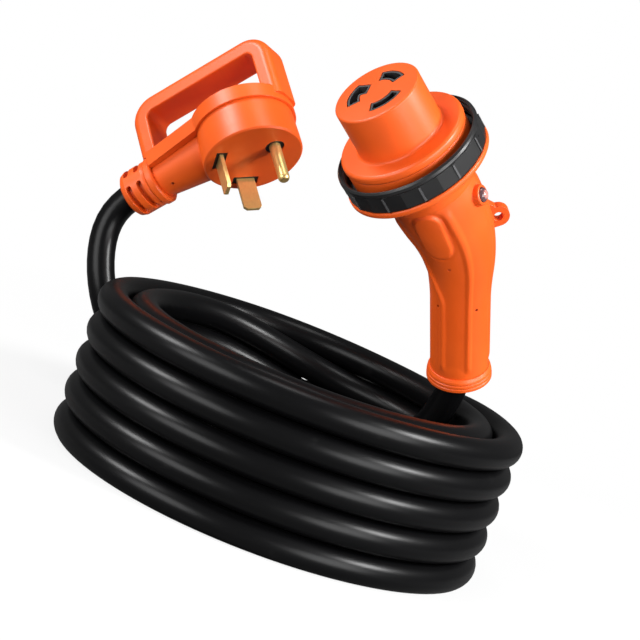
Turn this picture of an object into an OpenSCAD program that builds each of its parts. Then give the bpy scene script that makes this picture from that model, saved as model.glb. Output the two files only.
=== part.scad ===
// Shore power cord: a coiled 30 A cable with a D-handle plug and a twist-lock connector.
// Millimetres, +Z up. The origin is the centre of the coil on the floor it stands on.

/* [Cable] */
// Outside diameter of the cable jacket
cable_d = 17.4; // [14:0.1:21]
// Free space between neighbouring turns
turn_gap = 0.9; // [0.8:0.1:3]
// Radius of the outer wall of turns, at the middle of the cable
coil_r = 121; // [110:1:160]
// Turns in each of the two walls
turns_high = 5; // [4:1:6]

/* [Plug] */
// Radius of the round plug head
head_r = 30.5; // [28:0.5:37]
// Depth of the head from its face to the back cover
head_depth = 32.6; // [30:0.1:40]
// Width of the handle's strap
strap_w = 22.8; // [18:0.1:28]
// Clear height of the finger gap above the back cover
finger_gap = 32; // [26:0.5:40]
// Radius of the ground pin
pin_r = 3.5; // [3:0.05:4.2]
// Width of the flat blades
blade_w = 11.2; // [9.3:0.1:13.5]
// Length of the blades in front of the face
blade_len = 21.9; // [18:0.1:27]

/* [Connector] */
// Radius of the nose that goes into the inlet
nose_r = 24; // [22.5:0.1:27]
// Length of the nose in front of its flange
nose_len = 28.5; // [23:0.1:35]
// Outside radius of the locking ring
ring_r = 40.9; // [39.5:0.1:50]
// Length of the locking ring
ring_len = 13.4; // [11:0.1:17]
// Radius of the grip where it meets the end collar
grip_r = 16.6; // [15.5:0.1:20]
// Angle between the nose's axis and the grip
grip_bend = 25; // [20:1:30]

/* [Fits] */
// Radial running clearance of the locking ring on its hub
ring_fit = 0.05; // [0.02:0.01:0.1]
// Gap between pieces that sit beside each other
seat_gap = 0.3; // [0.2:0.05:0.4]

/* [Hidden] */
pitch = cable_d + turn_gap;
cord_r = cable_d / 2;
floor_z = cord_r - cable_d / 10;
rim_z = floor_z + (turns_high - 1) * pitch + cord_r;

// where the plug and the connector are held
plug_at = [-0.64 * coil_r, 0.531 * coil_r, rim_z + 88.2];
plug_turn = [-47.5, 128.5, -17.5];
collar_at = [coil_r - 2 * pitch - 4.2, 10, rim_z + 18];
connector_turn = [-144.5, 56, -28.5];

// plug
neck_z = -21.8;
neck_end = 62;
neck_r1 = 16.3;
neck_r2 = max(12.4, cord_r + 3.7);
part_z = 6 - head_depth;
collar_len = 5.5;
relief_len = 18.5;
relief_end = neck_end + collar_len + relief_len;
relief_r = max(15, cord_r + 6.3);
collar_or = relief_r + 0.75;
strap_t = 11.4;
blade_t = 2.2;
blade_ring = 21.2;
blade_turn = 43;
pin_x = -15.2;
pin_len = 25;
cable_stop = 48;
wire_r = 2.4;
wire_ring = wire_r * 2 / sqrt(3) + 0.1;
core_top = -3.5;
core_base = -13;
pad_top = -0.7;
barrel_r = 3.3;
barrel_len = 9;
barrel_back = 7.5;
barrel_inset = 1.5;
wire_seat = barrel_len - barrel_back - 3;

// connector
flange_r = ring_r - 5.75;
flange_z = -nose_len;
flange_t = 5.1;
ring_wall = 2.6;
ring_lip = 3.3;
hub_r = ring_r - 8.65;
ring_z1 = flange_z - flange_t - 1.4;
ring_z0 = ring_z1 - ring_len;
bell_z = ring_z0 - seat_gap;
bell_len = 18;
neck_r = 24.4;
bend_from = -bell_z + 38.3;
bend_r = 82;
grip_straight = 74.2;
bend_len = bend_r * grip_bend * PI / 180;
grip_len = bend_from + bend_len + grip_straight;
collar_h = 8.4;
collar_r = grip_r + 2.2;
slot_r = 12.6;
stub = 30;

// vectors
function rot_z(a, v) = [cos(a) * v.x - sin(a) * v.y, sin(a) * v.x + cos(a) * v.y, v.z];
function rot_y(a, v) = [cos(a) * v.x + sin(a) * v.z, v.y, cos(a) * v.z - sin(a) * v.x];
function turned(t, v) = rot_z(t[0], rot_y(t[1], rot_z(t[2], v)));
function unit(v) = v / norm(v);
function round_at(a, r, z) = [r * cos(a), r * sin(a), z];
function ease(x) = let (c = min(max(x, 0), 1)) c * c * (3 - 2 * c);

// grip centre line: a straight, a bend in the XZ plane, a straight
function grip_point(s) =
    s < bend_from ? [0, 0, -s]
  : s < bend_from + bend_len ? let (a = (s - bend_from) / bend_r * 180 / PI)
        [bend_r * (1 - cos(a)), 0, -bend_from - bend_r * sin(a)]
  : let (e = s - bend_from - bend_len)
        [bend_r * (1 - cos(grip_bend)) + e * sin(grip_bend), 0,
         -bend_from - bend_r * sin(grip_bend) - e * cos(grip_bend)];
function grip_angle(s) = min(max((s - bend_from) / bend_r * 180 / PI, 0), grip_bend);

connector_at = collar_at - turned(connector_turn, grip_point(grip_len));
function plug_point(p) = plug_at + turned(plug_turn, p);
function connector_point(p) = connector_at + turned(connector_turn, p);

// coil: w degrees clockwise from azimuth 180, outer wall up, inner wall down
loop_rings = 24;
coil_sides = 6;
shift = 70;
lead = 20;
w_in = 100;
w_out = 720 * turns_high + shift;
end_in = 1.3;
function climb(w, from, to, at) =
    from > to ? 0 : ease((w - 360 * from - at) / shift) + climb(w, from + 1, to, at);
function coil_z(w) = floor_z + pitch * (climb(w, 1, turns_high - 1, 4 * lead)
    - climb(w, turns_high + 1, 2 * turns_high - 1, 2 * lead));
function coil_radius(w) = coil_r + pitch * (1 - ease((w - 5 * lead) / shift))
    - pitch * ease((w - 360 * turns_high - 3 * lead) / shift)
    - end_in * pitch * ease((w - 720 * turns_high) / shift);
function coil_point(w) = round_at(180 - w, coil_radius(w), coil_z(w));
coil_step = 360 / loop_rings;
coil_run = [for (i = [0 : (w_out - w_in) / coil_step]) coil_point(w_in + i * coil_step)];
function along(a) = [sin(a), -cos(a), 0];
coil_start = coil_run[0] - cable_d * along(180 - w_in);
coil_end = coil_run[len(coil_run) - 1] + cable_d * along(180 - w_out);
coil_line = concat([coil_start], coil_run, [coil_end]);

// leads: straight at each end, a curve through a few points between
function curve(p, i, t) = let (a = p[i - 1], b = p[i], c = p[i + 1], d = p[i + 2])
    0.5 * (2 * b + (c - a) * t + (2 * a - 5 * b + 4 * c - d) * t * t + (3 * b - a - 3 * c + d) * t * t * t);
function smooth(p, cuts) = concat([p[0]],
    [for (i = [1 : len(p) - 3], k = [0 : cuts - 1]) curve(p, i, k / cuts)],
    [p[len(p) - 2], p[len(p) - 1]]);

plug_exit = plug_point([relief_end, 0, neck_z]);
plug_away = turned(plug_turn, [1, 0, 0]);
wall = coil_r + pitch;
plug_route = concat(
    [plug_point([cable_stop, 0, neck_z]), plug_exit, plug_exit + cable_d * plug_away],
    [for (q = [[147.6, 38, 0.99], [148.4, 26.5, 0.78], [146, 15.5, 0.56], [139.5, 7.5, 0.36],
               [127.5, 3, 0.19], [112.5, 0.8, 0.1]])
        round_at(q[0], wall + q[1], q[2] * rim_z)],
    [coil_start - cable_d * along(180 - w_in), coil_start]);

connector_exit = connector_point(grip_point(grip_len));
connector_away = turned(connector_turn, [sin(grip_bend), 0, -cos(grip_bend)]);
core_r = coil_r - 2 * pitch;
connector_route = concat(
    [coil_end, coil_end + 4 * along(180 - w_out)],
    [for (q = [[82, -3.4, 0.12], [66, -3, 0.21], [50, -2.8, 0.35], [36, -2.6, 0.52], [25, -2.4, 0.71],
               [17, -2, 0.91]])
        round_at(q[0], core_r + q[1], q[2] * rim_z)],
    [connector_exit + 6 * connector_away, connector_exit,
     connector_exit - stub * connector_away]);

function steps(p) = [for (i = [1 : len(p) - 1]) norm(p[i] - p[i - 1])];
function sum(v, i = 0) = i < len(v) ? v[i] + sum(v, i + 1) : 0;
function run_length(p) = sum(steps(p));
function to_segment(p, a, b) = let (d = b - a, t = min(max((p - a) * d / (d * d), 0), 1)) norm(p - a - t * d);
function line_gap(p, q) = min([for (a = p, i = [1 : len(q) - 1]) to_segment(a, q[i - 1], q[i])]) - cable_d;
function own_gap(p, skip) = min([for (i = [0 : len(p) - 1], j = [i + skip : 1 : len(p) - 1])
    to_segment(p[i], p[j - 1], p[j])]) - cable_d;

module tube(line, ref_up, sides, r = cord_r, floor = true) {
    n = len(line);
    dirs = [for (i = [0 : n - 1]) unit(line[min(i + 1, n - 1)] - line[max(i - 1, 0)])];
    rings = [for (i = [0 : n - 1])
        let (ref = ref_up ? [0, 0, 1] : unit([line[i].x, line[i].y, 0]),
             side = unit(cross(ref, dirs[i])), up = cross(dirs[i], side))
        for (k = [0 : sides - 1])
            let (a = 360 * (k + 0.5) / sides - 90, v = line[i] + r * (cos(a) * side + sin(a) * up))
            [v.x, v.y, floor ? max(v.z, 0) : v.z]];
    polyhedron(rings, concat(
        [[for (k = [0 : sides - 1]) k]],
        [for (i = [0 : n - 2], k = [0 : sides - 1]) let (a = i * sides, b = a + sides, m = (k + 1) % sides)
            [a + k, b + k, b + m]],
        [for (i = [0 : n - 2], k = [0 : sides - 1]) let (a = i * sides, b = a + sides, m = (k + 1) % sides)
            [a + k, b + m, a + m]],
        [[for (k = [sides - 1 : -1 : 0]) (n - 1) * sides + k]]));
}

plug_line = smooth(plug_route, 3);
connector_line = smooth(connector_route, 3);

past_start = [for (i = [3 : len(coil_run) - 1]) coil_run[i]];
before_end = [for (i = [0 : len(coil_run) - 4]) coil_run[i]];
echo(coil_least_gap = own_gap(coil_line, 8), plug_lead_gap = line_gap(plug_line, past_start),
     connector_lead_gap = line_gap(connector_line, before_end));
echo(coil_length = run_length(coil_line), plug_lead_length = run_length(plug_line),
     connector_lead_length = run_length(connector_line));

orange = [0.87, 0.30, 0.07];
black = [0.07, 0.07, 0.075];
brass = [0.80, 0.62, 0.30];

module on_plug() {
    translate(plug_at) rotate([0, 0, plug_turn[0]]) rotate([0, plug_turn[1], 0]) rotate([0, 0, plug_turn[2]])
        children();
}
module on_connector() {
    translate(connector_at) rotate([0, 0, connector_turn[0]]) rotate([0, connector_turn[1], 0])
        rotate([0, 0, connector_turn[2]]) children();
}
module on_grip(s) {
    translate(grip_point(s)) rotate([0, -grip_angle(s), 0]) children();
}
module rod_x(r, x0, x1, z = 0) {
    translate([x0, 0, z]) rotate([0, 90, 0]) cylinder(r = r, h = x1 - x0, $fn = 64);
}
module pipe(r, z0, z1) {
    translate([0, 0, z0]) cylinder(r = r, h = z1 - z0, $fn = 96);
}

// ---------------------------------------------------------------- plug
cover_front = part_z + 3.6;
module keyhole(grow) {
    big = head_r + 0.6 + grow;
    small = neck_r2 + 2.2 + grow;
    intersection() {
        union() {
            circle(r = big, $fn = 128);
            polygon([[0, 0.84 * big], [neck_end + 5, small], [neck_end + 5, -small], [0, -0.84 * big]]);
        }
        translate([-80, -60]) square([80 + neck_end, 120]);
    }
}
// room for the core, the barrels and the wires, down to a floor in the back cover
module head_hollow() {
    pipe(head_r - 5, part_z - 1, core_top + 0.05);
    intersection() {
        translate([10, 0, neck_z]) rotate([0, 90, 0])
            cylinder(r1 = neck_r1 + 1.1, r2 = max(9.6, cord_r + 0.9), h = cable_stop - 9.7, $fn = 96);
        translate([0, -40, part_z - 2]) cube([80, 80, 60]);
    }
}
module plug_body() color(orange) on_plug() difference() {
    intersection() {
        union() {
            rotate_extrude($fn = 128) polygon([[0, cover_front], [head_r - 0.4, cover_front],
                [head_r, -8], [head_r, -1], [head_r - 1, 0], [0, 0]]);
            translate([20, 0, neck_z]) rotate([0, 90, 0])
                cylinder(r1 = neck_r1 + 1.5, r2 = neck_r2, h = neck_end - 20, $fn = 96);
        }
        translate([-60, -60, cover_front]) cube([60 + neck_end, 120, 100]);
    }
    head_hollow();
    rod_x(cord_r + 0.05, cable_stop - 1, neck_end + 1, neck_z);
    seats(0.05, -10, 1);
    translate([neck_end - 8.4, 0, neck_z]) rotate([26, 0, 0])
        translate([0, 0, neck_r2 - 1]) cylinder(r = 1, h = 6, $fn = 24);
}
module seats(grow, z0, z1) {
    translate([pin_x, 0, z0]) cylinder(r = pin_r + 2.3 + grow, h = z1 - z0, $fn = 48);
    for (s = [-1, 1]) rotate([0, 0, s * blade_turn]) translate([blade_ring, 0, z0]) rotate([0, 0, s * 2])
        translate([-3.45 - grow, -blade_w / 2 - 2.4 - grow, 0])
            cube([6.9 + 2 * grow, blade_w + 4.8 + 2 * grow, z1 - z0]);
}
module blade_slots(grow, z0, z1) {
    translate([pin_x, 0, z0]) cylinder(r = pin_r - 0.4 + grow, h = z1 - z0, $fn = 48);
    for (s = [-1, 1]) blade_place(s)
        translate([-blade_t / 2 - grow, -blade_w / 2 - grow, z0])
            cube([blade_t + 2 * grow, blade_w + 2 * grow, z1 - z0]);
}
module blade_place(s) {
    rotate([0, 0, s * blade_turn]) translate([blade_ring, 0, 0]) rotate([0, 0, s * 2]) children();
}
module plug_core() color(black) on_plug() difference() {
    union() {
        pipe(head_r - 5.1, core_base, core_top);
        seats(0, core_top - 0.5, pad_top);
    }
    blade_slots(0.05, core_base - 1, 1);
}

// handle: strap section drawn with x outward from the window
module strap_section() {
    hw = strap_w / 2;
    translate([0, -hw + 1.2]) square([1.3, strap_w - 2.4]);
    for (s = [-1, 1]) translate([1.2, s * (hw - 1.2)]) circle(r = 1.2, $fn = 24);
    translate([1.2, -hw]) square([strap_t - 6.2, strap_w]);
    translate([strap_t - 5.1, -hw + 5]) square([5.1, strap_w - 10]);
    for (s = [-1, 1]) translate([strap_t - 5, s * (hw - 5)]) circle(r = 5, $fn = 48);
}
strap_in = 5;
leg_a = -21.8;
leg_b = 57;
bar_z = part_z - 6 - finger_gap;
module corner() {
    rotate([90, 0, 0]) rotate_extrude(angle = 90, $fn = 96) translate([strap_in, 0]) strap_section();
}
module plug_handle() color(orange) on_plug() difference() {
    union() {
        translate([0, 0, part_z - 6]) linear_extrude(6 + 3.55) keyhole(0.8);
        // legs and bar
        translate([leg_a, 0, bar_z + strap_in]) rotate([0, 0, 180])
            linear_extrude(part_z - 1 - bar_z - strap_in) strap_section();
        translate([leg_b, 0, bar_z + strap_in])
            linear_extrude(part_z - 1 - bar_z - strap_in) strap_section();
        translate([leg_a + strap_in, 0, bar_z]) rotate([0, 90, 0])
            linear_extrude(leg_b - leg_a - 2 * strap_in) strap_section();
        translate([leg_b - strap_in, 0, bar_z + strap_in]) rotate([0, 90, 0]) corner();
        translate([leg_a + strap_in, 0, bar_z + strap_in]) rotate([0, 180, 0]) corner();
    }
    head_hollow();
    rod_x(cord_r + 0.05, cable_stop - 1, 80, neck_z);
    rod_x(collar_or + seat_gap, neck_end, 90, neck_z);
}
module plug_collar() color(orange) on_plug() difference() {
    translate([neck_end, 0, neck_z]) rotate([0, 90, 0]) rotate_extrude($fn = 96)
        polygon([[cord_r + 0.35, 0], [collar_or - 1, 0], [collar_or, 1], [collar_or, collar_len - 1.2],
            [collar_or - 1.2, collar_len], [cord_r + 0.35, collar_len]]);
}
module plug_strain_relief() color(orange) on_plug() difference() {
    translate([neck_end + collar_len, 0, neck_z]) rotate([0, 90, 0]) difference() {
        rotate_extrude($fn = 96) polygon([[cord_r + 0.05, 0], [relief_r - 0.6, 0], [relief_r, 1.5],
            [relief_r, relief_len - 4], [relief_r - 1, relief_len - 1.2], [relief_r - 2.6, relief_len],
            [cord_r + 0.05, relief_len]]);
        for (row = [0, 1]) translate([0, 0, 4.6 + row * 7.6]) for (k = [0 : 2])
            rotate([0, 0, 90 + 120 * k]) {
                rotate([0, 0, -40]) rotate_extrude(angle = 80, $fn = 96)
                    translate([relief_r - 4, -1.7]) square([6, 3.4]);
                for (s = [-1, 1]) rotate([0, 0, s * 40]) rotate([0, 90, 0])
                    translate([0, 0, relief_r - 4]) cylinder(r = 1.7, h = 6, $fn = 32);
            }
    }
}

module blade(s) {
    blade_place(s) {
        translate([0, 0, core_base - 3]) intersection() {
            translate([-blade_t / 2, -blade_w / 2, 0]) cube([blade_t, blade_w, blade_len - core_base + 3]);
            rotate([0, 90, 0]) rotate([0, 0, 90]) translate([0, 0, -5]) linear_extrude(10)
                polygon([[-blade_w / 2, 0], [blade_w / 2, 0], [blade_w / 2, blade_len - core_base + 1.2],
                    [blade_w / 2 - 1.8, blade_len - core_base + 3], [1.8 - blade_w / 2, blade_len - core_base + 3],
                    [-blade_w / 2, blade_len - core_base + 1.2]]);
        }
    }
    barrel_with_strap(blade_xy(s).x, blade_xy(s).y);
}
function blade_xy(s) = [blade_ring * cos(blade_turn), s * (blade_ring * sin(blade_turn) - barrel_inset)];
module barrel(x, y) {
    translate([x, y, neck_z]) rotate([0, 90, 0]) difference() {
        translate([0, 0, -barrel_back]) cylinder(r = barrel_r, h = barrel_len, $fn = 48);
        translate([0, 0, wire_seat]) cylinder(r = wire_r + 0.05, h = 6, $fn = 48);
    }
}
module barrel_with_strap(x, y) {
    barrel(x, y);
    above = neck_z + wire_r + 0.3;
    translate([x - 2.6, y - 1.6, above]) cube([4, 3.2, core_base - 2 - above]);
}
module line_blade() color(brass) on_plug() blade(-1);
module neutral_blade() color(brass) on_plug() blade(1);
module ground_pin() color(brass) on_plug() {
    translate([pin_x, 0, core_base - 3]) cylinder(r = pin_r - 0.4, h = 3 - core_base, $fn = 64);
    translate([pin_x, 0, pad_top]) cylinder(r = pin_r, h = pin_len - pad_top - pin_r * 0.7, $fn = 64);
    translate([pin_x, 0, pin_len]) rotate_extrude($fn = 64) intersection() {
        translate([0, -pin_r * 0.7]) circle(r = pin_r, $fn = 64);
        translate([0, -pin_r * 0.7 - 0.01]) square([pin_r, pin_r * 0.7 + 0.01]);
    }
    barrel_with_strap(pin_x, 0);
}
wire_angles = [90, 210, 330];
wire_sides = 10;
module plug_wire(x, y, k) {
    from = [x + wire_seat, y, neck_z];
    to = [cable_stop, wire_ring * cos(wire_angles[k]), neck_z + wire_ring * sin(wire_angles[k])];
    d = to - from;
    n = 12;
    tube(concat([from], [for (i = [0 : n]) let (t = i / n)
        from + [3 + (d.x - 5) * t, d.y * ease(1.3 * t), d.z * ease(t)]], [to]), true, wire_sides, wire_r, false);
}
module plug_line_wire() color(black) on_plug() plug_wire(blade_xy(-1).x, blade_xy(-1).y, 1);
module plug_neutral_wire() color([0.85, 0.85, 0.82]) on_plug() plug_wire(blade_xy(1).x, blade_xy(1).y, 2);
module plug_ground_wire() color([0.05, 0.4, 0.12]) on_plug() plug_wire(pin_x, 0, 0);

// ---------------------------------------------------------------- cable
module plug_lead() color(black) tube(plug_line, false, 10);
module cord_coil() color(black) tube(coil_line, true, coil_sides);
module connector_lead() color(black) tube(connector_line, false, 10);

// ---------------------------------------------------------------- connector
shoulder_r = hub_r + 2.45;
shoulder_z = ring_z0 + ring_lip + seat_gap;
nose_hollow = nose_r - 3.2;
// three curved slots: middle angle, span, width
slots = [[-27, 58, 6.2], [-139, 48, 6.2], [103, 60, 5.6]];
rim = 1.2;
module arc_bar(i, grow, z0, z1) {
    a = slots[i][0];
    span = slots[i][1] + 2 * grow / slot_r * 180 / PI;
    w = slots[i][2] + 2 * grow;
    rotate([0, 0, a - span / 2]) rotate_extrude(angle = span, $fn = 96)
        translate([slot_r - w / 2, z0]) square([w, z1 - z0]);
    if (i == 0) rotate([0, 0, a - span / 2]) translate([slot_r - 5.6 - grow, 0, z0])
        cube([5, 4 + 2 * grow, z1 - z0]);
}
module connector_nose() color(orange) on_connector() difference() {
    rotate_extrude($fn = 128) polygon([[0, bell_z], [hub_r, bell_z], [hub_r, shoulder_z], [shoulder_r, shoulder_z],
        [shoulder_r, flange_z - flange_t], [flange_r - 0.8, flange_z - flange_t],
        [flange_r, flange_z - flange_t + 0.8], [flange_r, flange_z - 1.6], [flange_r - 0.5, flange_z - 0.6],
        [flange_r - 1.6, flange_z], [nose_r + 1.5, flange_z], [nose_r + 0.4, flange_z + 0.5],
        [nose_r, flange_z + 1.6], [nose_r, -0.7], [nose_r - 0.7, 0], [0, 0]]);
    pipe(nose_hollow, bell_z - 1, -3);
    for (i = [0 : 2]) arc_bar(i, 0.05, -4, 1);
}
carrier_base = -28;
module contact_carrier() color([0.17, 0.17, 0.18]) on_connector() difference() {
    union() {
        pipe(nose_hollow - 0.05, carrier_base, -3);
        for (i = [0 : 2]) arc_bar(i, 0, -4, -0.15);
    }
    for (i = [0 : 2]) arc_bar(i, -rim, carrier_base - 1, 1);
}
module contact(i) {
    a = slots[i][0];
    span = slots[i][1] - 2 * rim / slot_r * 180 / PI - 1;
    out = slot_r + slots[i][2] / 2 - rim - 0.05;
    rotate([0, 0, a - span / 2]) rotate_extrude(angle = span, $fn = 96)
        translate([out - 0.9, carrier_base - 3]) square([0.9, 24]);
    rotate([0, 0, a]) translate([slot_r, 0, carrier_base - 10]) difference() {
        cylinder(r = barrel_r, h = 9.5, $fn = 48);
        translate([0, 0, -1]) cylinder(r = wire_r + 0.05, h = 4, $fn = 48);
    }
}
module ground_contact() color(brass) on_connector() contact(0);
module line_contact() color(brass) on_connector() contact(1);
module neutral_contact() color(brass) on_connector() contact(2);

wire_from = -carrier_base + 7;
wire_to = grip_len - stub;
module connector_wire(i) {
    a = slots[i][0];
    n = 18;
    tube([for (k = [0 : n]) let (s = wire_from + (wire_to - wire_from) * k / n,
            q = slot_r + (wire_ring - slot_r) * ease((s - wire_from - 7) / (bend_from - wire_from - 8)))
        grip_point(s) + rot_y(-grip_angle(s), [q * cos(a), q * sin(a), 0])], false, wire_sides, wire_r, false);
}
module connector_line_wire() color(black) on_connector() connector_wire(1);
module connector_neutral_wire() color([0.85, 0.85, 0.82]) on_connector() connector_wire(2);
module connector_ground_wire() color([0.05, 0.4, 0.12]) on_connector() connector_wire(0);

// locking ring: flat panels, thin ribs, a plain band in front, a lip behind
panels = 24;
rib_w = 1.1;
module locking_ring() color([0.12, 0.12, 0.13]) on_connector() difference() {
    union() {
        pipe(ring_r - 1, ring_z0, ring_z1 - 1.2);
        translate([0, 0, ring_z1 - 3.2]) rotate_extrude($fn = 128) polygon([[ring_r - 2, 0], [ring_r - 0.7, 0],
            [ring_r - 0.4, 0.8], [ring_r - 0.6, 2.2], [ring_r - 1.5, 3.2], [ring_r - 2, 3.2]]);
        translate([0, 0, ring_z0 + 0.4]) linear_extrude(ring_len - 3.8)
            polygon([for (k = [0 : panels - 1]) (ring_r - 0.55) * [cos(360 / panels * k), sin(360 / panels * k)]]);
        for (k = [0 : panels / 2 - 1]) rotate([0, 0, 360 / panels * 2 * k])
            translate([ring_r - 2, -rib_w / 2, ring_z0 + 0.8]) cube([2, rib_w, ring_len - 4.6]);
    }
    pipe(ring_r - ring_wall, ring_z0 + ring_lip, ring_z1 + 1);
    pipe(hub_r + ring_fit, ring_z0 - 1, ring_z0 + ring_lip + 1);
    rotate([0, 0, 360 / panels * 10.5]) translate([ring_r - 1.2, 0, ring_z0 + ring_len / 2]) rotate([0, 90, 0])
        cylinder(r = 0.6, h = 3, $fn = 24);
}

// grip: swept rings with a raised spine and a recessed panel on each side
grip_sides = 60;
sweep_from = -bell_z + bell_len - 1.6;
sweep_to = grip_len - collar_h;
grip_rings = 34;
function grip_base(s) = neck_r + (grip_r - neck_r) * ease((s - sweep_from - 4) / 74);
function within(x, half, edge) = ease((half + edge - abs(x)) / edge);
function fade(s) = ease((s - sweep_from - 2) / 8) * ease((sweep_to - 3 - s) / 6);
// side panel: wide round the oval pad, narrower down the grip
function panel_mid(s) = 55 + 17 * ease((s - 112) / 28);
function panel_half(s) = 40 - 16 * ease((s - 112) / 28);
function grip_radius(s, t) = let (u = abs(t > 180 ? t - 360 : t), f = fade(s), p = u - panel_mid(s), h = panel_half(s))
    grip_base(s) + f * (0.8 * within(u - 180, 16, 6) + 0.9 * within(abs(p) - h - 3, 2, 6) - 0.5 * within(p, h - 6, 6));
module grip_sweep() {
    n = grip_sides;
    outer = [for (i = [0 : grip_rings - 1]) let (s = sweep_from + (sweep_to - sweep_from) * i / (grip_rings - 1),
            b = grip_angle(s)) for (k = [0 : n - 1]) let (t = 360 * k / n, r = grip_radius(s, t))
        grip_point(s) + rot_y(-b, [r * cos(t), r * sin(t), 0])];
    inner_rings = 12;
    inner = [for (i = [0 : inner_rings - 1]) let (s = sweep_from + (sweep_to - sweep_from) * i / (inner_rings - 1),
            b = grip_angle(s)) for (k = [0 : n - 1]) let (t = 360 * k / n, r = grip_base(s) - 4.2)
        grip_point(s) + rot_y(-b, [r * cos(t), r * sin(t), 0])];
    m = len(outer);
    last = (grip_rings - 1) * n;
    ilast = m + (inner_rings - 1) * n;
    polyhedron(concat(outer, inner), concat(
        [for (i = [0 : grip_rings - 2], k = [0 : n - 1]) let (a = i * n + k, b = i * n + (k + 1) % n) [a, b, b + n]],
        [for (i = [0 : grip_rings - 2], k = [0 : n - 1]) let (a = i * n + k, b = i * n + (k + 1) % n) [a, b + n, a + n]],
        [for (i = [0 : inner_rings - 2], k = [0 : n - 1]) let (a = m + i * n + k, b = m + i * n + (k + 1) % n)
            [a, b + n, b]],
        [for (i = [0 : inner_rings - 2], k = [0 : n - 1]) let (a = m + i * n + k, b = m + i * n + (k + 1) % n)
            [a, a + n, b + n]],
        [for (k = [0 : n - 1]) let (j = (k + 1) % n) [k, m + k, m + j]],
        [for (k = [0 : n - 1]) let (j = (k + 1) % n) [k, m + j, j]],
        [for (k = [0 : n - 1]) let (j = (k + 1) % n) [last + k, ilast + j, ilast + k]],
        [for (k = [0 : n - 1]) let (j = (k + 1) % n) [last + k, last + j, ilast + j]]));
}
pad_s = 84;
pad_turn = 65;
pad_tilt = 9;
pad_w = 16;
pad_len = 34;
led_s = 77;
led_turn = 28;
led_x = -26.4;
board_x = led_x + 8.2;
led_r = 4;
lug_s = 100.5;
lug_hole = 2.6;
module at_led() { rotate([0, 0, -led_turn]) children(); }
module connector_body() color(orange) on_connector() difference() {
    union() {
        translate([0, 0, bell_z]) rotate_extrude($fn = 128) polygon([[nose_hollow - 1, 0], [ring_r - 0.6, 0],
            [ring_r, -0.6], [ring_r, -2.6], [ring_r - 1.4, -4], [neck_r + 8.6, -4.6], [neck_r + 4.6, -7],
            [neck_r + 2, -11], [neck_r + 0.7, -15], [neck_r + 0.3, -bell_len], [neck_r - 4.6, -bell_len],
            [neck_r - 4.6, -bell_len + 6]]);
        grip_sweep();
        // raised surround of the power light
        at_led() translate([led_x - 2, 0, -led_s]) rotate([0, 90, 0]) cylinder(r = led_r + 2.8, h = 8, $fn = 64);
        // lanyard eye on the back
        translate([0, 2.5, 0]) rotate([90, 0, 0]) linear_extrude(5) {
            translate([-23.6 - 1.2, -lug_s]) circle(r = 6.2, $fn = 64);
            polygon([[-18.5, -lug_s + 13], [-22.6, -lug_s + 11.5], [-26, -lug_s + 6.1], [-24.8, -lug_s - 6.2],
                [-18, -lug_s - 5.2], [-17.5, -lug_s]]);
        }
        // oval pads on the side panels
        for (s = [-1, 1]) rotate([0, 0, s * pad_turn]) intersection() {
            translate([15, 0, -pad_s]) rotate([0, 90, 0]) linear_extrude(14) rotate(-s * pad_tilt) union() {
                for (e = [-1, 1]) translate([e * (pad_len - pad_w) / 2, 0]) circle(d = pad_w, $fn = 64);
                square([pad_len - pad_w, pad_w], center = true);
            }
            translate([0, 0, -pad_s - 20]) cylinder(r1 = 22.6, r2 = neck_r + 2.6, h = 40, $fn = 96);
        }
    }
    at_led() translate([-30, 0, -led_s]) rotate([0, 90, 0]) cylinder(r = led_r + 0.05, h = 12, $fn = 48);
    at_led() translate([led_x - 2.2, 0, -led_s]) rotate([0, 90, 0])
        cylinder(r1 = led_r + 1.3, r2 = led_r + 0.8, h = 1.4, $fn = 48);
    translate([-24.8, 4, -lug_s]) rotate([90, 0, 0]) cylinder(r = lug_hole, h = 8, $fn = 48);
}
module led_lens() color([0.9, 0.75, 0.72, 0.6]) on_connector() at_led() translate([led_x, 0, -led_s]) rotate([0, -90, 0])
    difference() {
        union() {
            translate([0, 0, -5]) cylinder(r = led_r, h = 6, $fn = 64);
            translate([0, 0, 1]) rotate_extrude($fn = 64) intersection() {
                translate([0, -2]) circle(r = sqrt(led_r * led_r + 4), $fn = 96);
                square([led_r, 4]);
            }
        }
        translate([0, 0, -6]) cylinder(r = 2.8, h = 5, $fn = 48);
    }
module led() color([0.85, 0.3, 0.25]) on_connector() at_led() translate([led_x, 0, -led_s]) rotate([0, -90, 0]) {
    translate([0, 0, led_x - board_x]) cylinder(r = 2.5, h = board_x - led_x - 2.4, $fn = 48);
    translate([0, 0, -2.4]) rotate_extrude($fn = 48) intersection() {
        translate([0, -1.6]) circle(r = sqrt(2.5 * 2.5 + 1.6 * 1.6), $fn = 64);
        square([2.5, 3]);
    }
}
module led_board() color([0.05, 0.3, 0.15]) on_connector() at_led()
    translate([board_x, -4.5, -led_s - 8]) cube([1.2, 9, 14]);
module led_wires() color([0.6, 0.1, 0.1]) on_connector() for (i = [1, 2]) {
    a = slots[i][0];
    to = [slot_r * cos(a) - 2.87, slot_r * sin(a), carrier_base - 10];
    from = rot_z(-led_turn, [board_x + 1.2, i == 1 ? -2.4 : 2.4, -led_s + 4]);
    tube([from, from + rot_z(-led_turn, [0.8, 0, 0]), from + rot_z(-led_turn, [1.8, 0, 2]), 0.5 * (from + to) + [1, 0, 0], to - [0, 0, 4], to],
        false, 8, 0.4, false);
}

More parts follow.
